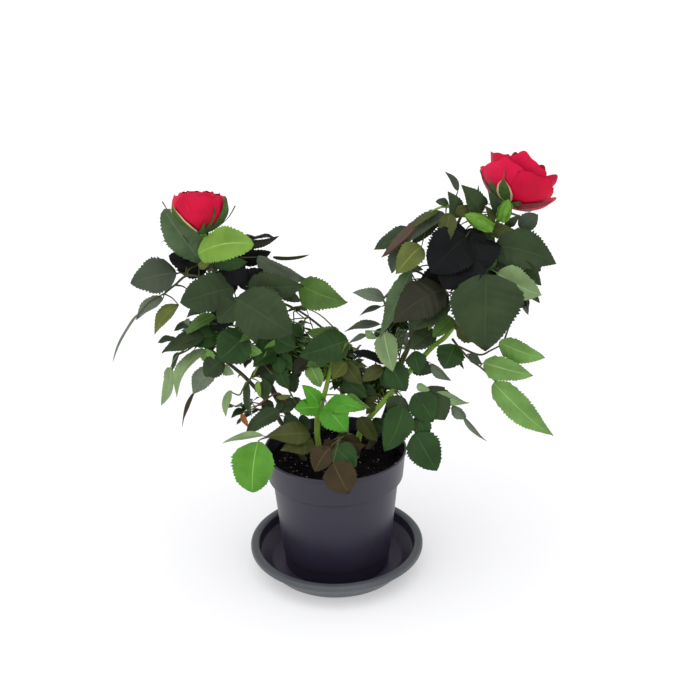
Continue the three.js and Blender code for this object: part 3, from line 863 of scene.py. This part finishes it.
def round_profile(points, radius, steps=4):
    """The same outline with each inner corner rounded off."""
    p = [np.array(q, float) for q in points]
    out = [p[0]]
    for a, b, c in zip(p, p[1:], p[2:]):
        cut = min(radius, np.linalg.norm(b - a) * 0.45, np.linalg.norm(c - b) * 0.45)
        start, end = b + unit(a - b) * cut, b + unit(c - b) * cut
        for k in range(steps + 1):
            t = k / steps
            out.append((1 - t) ** 2 * start + 2 * t * (1 - t) * b + t**2 * end)
    return [*out, p[-1]]


def bloom(centre, axis, layers, sepals):
    """A rose: layers of petals from the outside in, on a ribbed green cup with its sepals.

    Every other petal of a crimson layer is the rose red one.
    """
    for count, start, paint, ruffle, lobes, profile, halves in layers:
        for k in range(count):
            azimuth = start + 360 * k / count + rng.uniform(-6, 6)
            wrapped(PETALS, [paint or 2 * (k % 2)], centre, axis, azimuth, profile, halves,
                    ruffle=ruffle, lobes=lobes, stand=rng.uniform(-0.4, 0.8) + 0.6 * (k % 2))
    cup = [(r * MM, h * MM) for r, h in CUP]
    turned(CALYX, cup, steps=20, paint=GREEN_CUP, axis=axis, at=centre, ribs=5, depth=0.06)
    for azimuth, paints, profile, halves in sepals:
        wrapped(CALYX, paints, centre, axis, azimuth, profile, halves, ruffle=0.5, point=0.02, thick=0.6)


CUP = [(1.5, -10), (2.1, -8), (4.4, -4.5), (4.9, -2), (4.3, 0.2), (0.2, 0.6)]
PLAIN, EDGED, RED = [0], [1, 0, 0, 0, 0, 0, 1], [3]

# Each layer of petals: how many, the first one's azimuth, its red (the darker red of the inner layers is
# painted shade), ruffle and scallops, then its profile
# and half widths. Each sepal: azimuth, paints, profile and half widths.
RIGHT_AT = np.array((136, 1, 317)) * MM
RIGHT_AXIS = unit((0.47, 0.5, 0.74))
bloom(RIGHT_AT, RIGHT_AXIS, [
    (5, 22, CRIMSON, 1.3, 0.02, [(2.5, 0), (11.5, 1), (19.5, 4.5), (26.5, 10), (31, 19)],
     [3, 11, 18, 23, 24]),
    (5, 56, CRIMSON, 1.4, 0.03, [(2.5, 0), (9, 4), (16.5, 10), (23, 19), (28, 29)], [3, 9, 16, 21, 22]),
    (5, 24, INNER_SHADE, 1.2, 0.03, [(2, 0), (6.5, 6), (11.5, 14), (15, 23), (17.5, 32)], [2.5, 7, 12, 16, 17]),
    (5, 54, INNER_SHADE, 1.0, 0.03, [(1.5, 0), (4, 7), (7.5, 15), (9.5, 23), (10, 30)], [2, 5, 8, 10, 9]),
    (4, 0, INNER_SHADE, 0.6, 0.02, [(1, 0), (2, 8), (4, 15), (5, 22), (4, 28)], [1.5, 3, 5, 6, 5]),
], [
    (-116, EDGED, [(3.8, -1.5), (11, -1), (18, 2), (24, 5.4), (31, 12)], [3, 6.5, 7.5, 5.5, 0.5, 0.3]),
    (-160, PLAIN, [(3.8, -1.5), (10, -1), (16, 2), (21, 5.4), (24, 9)], [2.5, 5.5, 5.5, 3, 0.4]),
    (-178, PLAIN, [(3.8, -1.5), (11, -1), (19, 3), (27, 9), (31, 14)], [2, 3, 1.6, 0.8, 0.3]),
    (-42, PLAIN, [(3.8, -1.5), (8, -1.5), (12, 0), (14.5, -2)], [2.5, 3, 2, 0.6]),
    (-20, RED, [(3.8, -1.5), (11, -0.6), (20, 3), (28, 8), (31, 12)], [2.5, 4, 4, 2.5, 0.3]),
    (104, EDGED, [(3.8, -1.5), (11, -0.6), (20, 3), (27, 7)], [2.5, 5, 5, 0.3]),
])
LEFT_AT = np.array((-101, -2, 297)) * MM
LEFT_AXIS = unit((0.04, 0.18, 1))
bloom(LEFT_AT, LEFT_AXIS, [
    (5, -16, CRIMSON, 0.7, 0.012, [(2.5, 0), (9, 3), (17.5, 9), (21, 16), (20.4, 23), (18, 29)],
     [3, 9, 17, 20, 19, 15]),
    (5, 22, CRIMSON, 0.5, 0.012, [(2.5, 0), (8, 4), (14.5, 10), (18, 17), (17.2, 24), (14, 31)],
     [3, 8, 13, 16, 15, 12]),
    (5, 60, CRIMSON, 0.4, 0.01, [(2, 0), (7, 4), (12, 11), (14, 18), (12.5, 26), (9, 32)],
     [2.5, 6, 11, 13, 12, 8]),
    (4, 50, INNER_SHADE, 0.3, 0.01, [(1.5, 0), (5, 5), (8, 12), (9, 19), (7, 26), (4, 32)], [2, 4, 7, 9, 8, 5]),
    (4, 0, INNER_SHADE, 0.4, 0.02, [(1, 0), (3, 7), (5, 14), (5, 21), (3, 28)], [1, 3, 4, 5, 3]),
], [
    (-140, EDGED, [(3.6, -1.5), (10.5, 2), (18, 7.5), (22.6, 14.5), (24.5, 21)], [3, 8.5, 10, 7, 0.4]),
    (-24, PLAIN, [(3.6, -1.5), (10.5, 2), (18.2, 8), (22.8, 16), (23, 23), (21.8, 29)],
     [3, 5.5, 6.5, 6, 3.5, 0.4]),
    (-52, PLAIN, [(3.6, -1.5), (10, 2), (17.5, 8), (22, 15), (23, 21)], [2.5, 3, 1.6, 0.8, 0.3]),
    (-72, PLAIN, [(3.6, -1.5), (10, 1.5), (17, 6), (22, 10)], [2.5, 2.4, 1.2, 0.3]),
    (-6, PLAIN, [(3.6, -1.5), (11, 2), (18.8, 8), (24, 14), (28, 22)], [2, 2.4, 1.4, 0.8, 0.3]),
    (-164, RED, [(3.6, -1.5), (11, 2), (19, 8), (24, 15), (29, 24)], [2, 2.4, 1.4, 0.8, 0.3]),
    (64, EDGED, [(3.6, -1.5), (10.5, 2), (18.2, 8), (22.5, 15), (24, 21)], [3, 6, 6, 4, 0.4]),
    (138, EDGED, [(3.6, -1.5), (10.5, 2), (18.2, 8), (22.5, 15), (24, 21)], [3, 6, 6, 4, 0.4]),
])


BUD_SEPAL_ACROSS = np.array([-1, -0.8, -0.4, 0, 0.4, 0.8, 1])


def bud_sepal(base, tip, facing, width):
    """A sepal that hugs its bud."""
    blade = blade_grid(base, tip, facing, width, 7, across=BUD_SEPAL_ACROSS, fold=-0.3, arch=0.13, curl=0.1,
                       saw=0.02, quilt=0.01, shape=(0.35, 0.95), thick=0.5 * MM)
    CALYX.add_sheet(blade, [GREEN_CUP] * 2)


def bud(at, tip, radius):
    """A closed bud: a ribbed spindle with five sepals laid along it."""
    axis = tip - at
    length = np.linalg.norm(axis)
    shape = [(0.35, 0), (0.8, 0.12), (1, 0.3), (0.86, 0.52), (0.5, 0.75), (0.18, 0.92), (0.04, 1)]
    spindle = [(r * radius, h * length) for r, h in shape]
    turned(CALYX, spindle, steps=20, paint=GREEN_CUP, axis=axis, at=at, ribs=5, depth=0.08)
    for k in range(5):
        out = turned_about(square_to((0, -1, 0), axis), axis, 72 * k)
        bud_sepal(at + out * radius * 0.75, tip + axis * 0.08 + out * radius * 0.1, out, radius * 1.9)


bud(seen(124, 297, -12), seen(104, 307, -18), 4.6 * MM)
bud(seen(131.5, 303, -12), seen(135.5, 318, -18), 4.7 * MM)


# ---- pot, saucer and soil ---------------------------------------------------------------

POT = Pile("pot_body", [
    material("pot_plastic", (41, 37, 53), rough=0.38, vary=0.1, scale=30, bump=0.1, grain=2600),
], "pot_plastic", ["pot"])
# The saucer has two paints: its plastic, and a darker purple-grey for the inside of the dish, which is
# painted shade under the pot.
SAUCER = Pile("saucer_dish", [
    material("saucer_plastic", (76, 80, 85), rough=0.42, vary=0.12, scale=40, bump=0.15, grain=2400),
    material("saucer_inside_shaded", (56, 49, 70), rough=0.4, vary=0.15, scale=40, bump=0.15, grain=2400,
             specular=0.3),
], "saucer_plastic", ["saucer"])

pot_low, pot_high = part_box("pot")
rim, top = (pot_high.x - pot_low.x) / 2 / MM, pot_high.z / MM
foot = pot_low.z / MM
outside = [(0.01, foot + 1.2), (43, foot + 1.2), (44, foot), (45.4, foot), (46, foot + 12),
           (46.8, foot + 13.2), (53.4, top - 27.6), (53.8, top - 26.4), (56.8, top - 25.4),
           (57.3, top - 24.6), (rim - 0.9, top - 3.4), (rim, top - 2.6), (rim, top - 0.6), (rim - 0.8, top)]
inside = [(rim - 1.6, top - 0.7), (55.4, top - 25), (51.4, top - 28), (45, foot + 13), (44, foot + 1.9),
          (0.01, foot + 1.9)]
turned(POT, [(r * MM, h * MM) for r, h in round_profile(outside + inside, 0.7, 3)])

saucer_low, saucer_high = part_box("saucer")
lip, height = (saucer_high.x - saucer_low.x) / 2 / MM, saucer_high.z / MM
dish = [(0.01, 0.8), (52, 0.8), (53.5, 0), (57.5, 0), (59, 1.2), (lip - 3.6, height - 6.8),
        (lip - 1.4, height - 5.6), (lip, height - 4.6), (lip, height - 1.2), (lip - 1.6, height),
        (lip - 5.4, height), (lip - 7.3, height - 1.4), (lip - 8.2, 12.2), (lip - 9.8, 11.2), (57, 3.4),
        (54.6, 2.3), (0.01, 2.3)]
shell = [(r * MM, h * MM) for r, h in round_profile(dish, 1.3)]
top_ring = max(range(len(shell)), key=lambda k: shell[k][1])
inner_edge = next(k for k in range(top_ring, len(shell)) if shell[k][0] < (lip - 7) * MM)
turned(SAUCER, shell[: inner_edge + 1])
# Its inside takes the darker purple-grey paint: painted shade under the pot.
turned(SAUCER, shell[inner_edge:], paint=1)

SOIL = Pile("soil_bed", [
    material("soil_dark", (13, 8, 14), rough=0.95, vary=0.5, scale=300, bump=1.0, grain=1400, specular=0.1),
    material("soil_crumb", (24, 15, 20), rough=0.95, vary=0.6, scale=300, bump=0.8, grain=1400, specular=0.1),
    material("soil_perlite", (196, 184, 186), rough=0.9, vary=0.1, scale=300, bump=0.3),
    material("soil_bark", (84, 50, 52), rough=0.9, vary=0.4, scale=300, bump=0.6, specular=0.1),
], "soil", ["soil"])
soil_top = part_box("soil")[1].z / MM
bed_radius = 56.5


def soil_height(x, y):
    r = math.hypot(x, y)
    lumps = 0.9 * math.sin(0.31 * x + 1.3) * math.cos(0.27 * y)
    lumps += 0.5 * math.sin(0.9 * x + 0.7 * y) * math.cos(0.8 * y - 0.4 * x)
    return soil_top - 0.8 - 2.6 * (r / bed_radius) ** 3 + lumps


RINGS, SPOKES = 30, 96
rings = []
for i in range(RINGS):
    r = bed_radius * (i + 0.2) / (RINGS - 0.8)
    for k in range(SPOKES):
        a = 2 * math.pi * k / SPOKES
        x, y = r * math.cos(a), r * math.sin(a)
        rings.append((x * MM, y * MM, (soil_height(x, y) + rng.uniform(-0.35, 0.35)) * MM))
SOIL.add(rings, grid_faces(RINGS, SPOKES, closed=True, turn=True) + [list(range(SPOKES))])

CRUMB = [(0, 0, 1), (0.9, 0, 0.3), (0.2, 0.9, 0.2), (-0.8, 0.5, 0.3), (-0.7, -0.6, 0.1), (0.3, -0.9, 0.3),
         (0, 0, -0.7)]
CRUMB_FACES = [(0, k, k % 5 + 1) for k in range(1, 6)] + [(6, k % 5 + 1, k) for k in range(1, 6)]


def crumb(paint, size, sink=0.2):
    r, a = (bed_radius - 1.5) * math.sqrt(rng.random()), rng.uniform(0, 2 * math.pi)
    x, y = r * math.cos(a), r * math.sin(a)
    at = np.array((x, y, soil_height(x, y) - sink * size))
    spin = rng.uniform(0, 2 * math.pi)
    c, s = math.cos(spin), math.sin(spin)
    stretch = np.array([rng.uniform(0.7, 1.4), rng.uniform(0.7, 1.3), rng.uniform(0.5, 0.9)]) * size
    points = [at + np.array((c * px - s * py, s * px + c * py, pz)) * stretch + jitter(0.12 * size)
              for px, py, pz in CRUMB]
    SOIL.add(np.array(points) * MM, CRUMB_FACES, paint)


for _ in range(1500):
    crumb(1 if rng.random() < 0.7 else 0, rng.uniform(0.5, 1.7))
for _ in range(110):
    crumb(2, rng.uniform(0.25, 0.8), sink=0.0)
for _ in range(60):
    crumb(3, rng.uniform(0.6, 1.6), sink=0.0)


# ---- join, light and camera -------------------------------------------------------------

for pile in [*LEAVES.values(), *STEMS.values(), PETALS, CALYX, POT, SAUCER]:
    pile.build()
SOIL.build(smooth=False)

floor_mesh = bpy.data.meshes.new("studio_floor")
sweep = [(0.001, 0), (9, 0), (12, 0.15), (15, 0.9), (17.5, 2.6), (19.5, 5.4), (20.5, 9)]
turns = [2 * math.pi * k / SPOKES for k in range(SPOKES)]
corners = [(r * math.cos(a), r * math.sin(a), z) for r, z in sweep for a in turns]
floor_mesh.from_pydata(corners, [], grid_faces(len(sweep), SPOKES, closed=True, turn=True))
facets = range(len(floor_mesh.polygons))
floor_mesh.polygons.foreach_set("use_smooth", [True] * len(facets))
floor_mesh.polygons.foreach_set("material_index", [int(k >= SPOKES) for k in facets])
for name, rgb, glow in (("studio_floor", (215, 215, 218), 0.33), ("studio_wall", (40, 40, 40), 1.05)):
    floor_mesh.materials.append(material(name, rgb, rough=0.9, vary=0.005, scale=2, bump=0.0, specular=0,
                                         Emission_Color=(1, 1, 1, 1), Emission_Strength=glow))
floor = placed("studio_floor", floor_mesh)

lamp = bpy.data.lights.new("softbox", "SUN")
lamp.energy, lamp.angle = 1.7, math.radians(90)
softbox = placed("softbox", lamp)
softbox.rotation_euler = Vector((0.12, 0.3, -1)).to_track_quat("-Z", "Y").to_euler()

world = bpy.data.worlds.new("studio")
bpy.context.scene.world = world
world.use_nodes = True
backdrop = world.node_tree.nodes["Background"].inputs
backdrop["Color"].default_value = (1, 1, 1, 1)
backdrop["Strength"].default_value = 0.5

camera_data = bpy.data.cameras.new("camera")
camera_data.lens = LENS
camera_data.sensor_width = 36
camera_data.clip_end = 200
camera = placed("camera", camera_data)
camera.location = Vector(EYE) * MM
look = Vector((0, math.cos(math.radians(LOOK_DOWN)), -math.sin(math.radians(LOOK_DOWN))))
aim = look.to_track_quat("-Z", "Y").to_matrix() @ Matrix.Rotation(math.radians(ROLL), 3, "Z")
camera.rotation_euler = aim.to_euler()
bpy.context.scene.camera = camera
bpy.context.scene.view_settings.view_transform = "Standard"
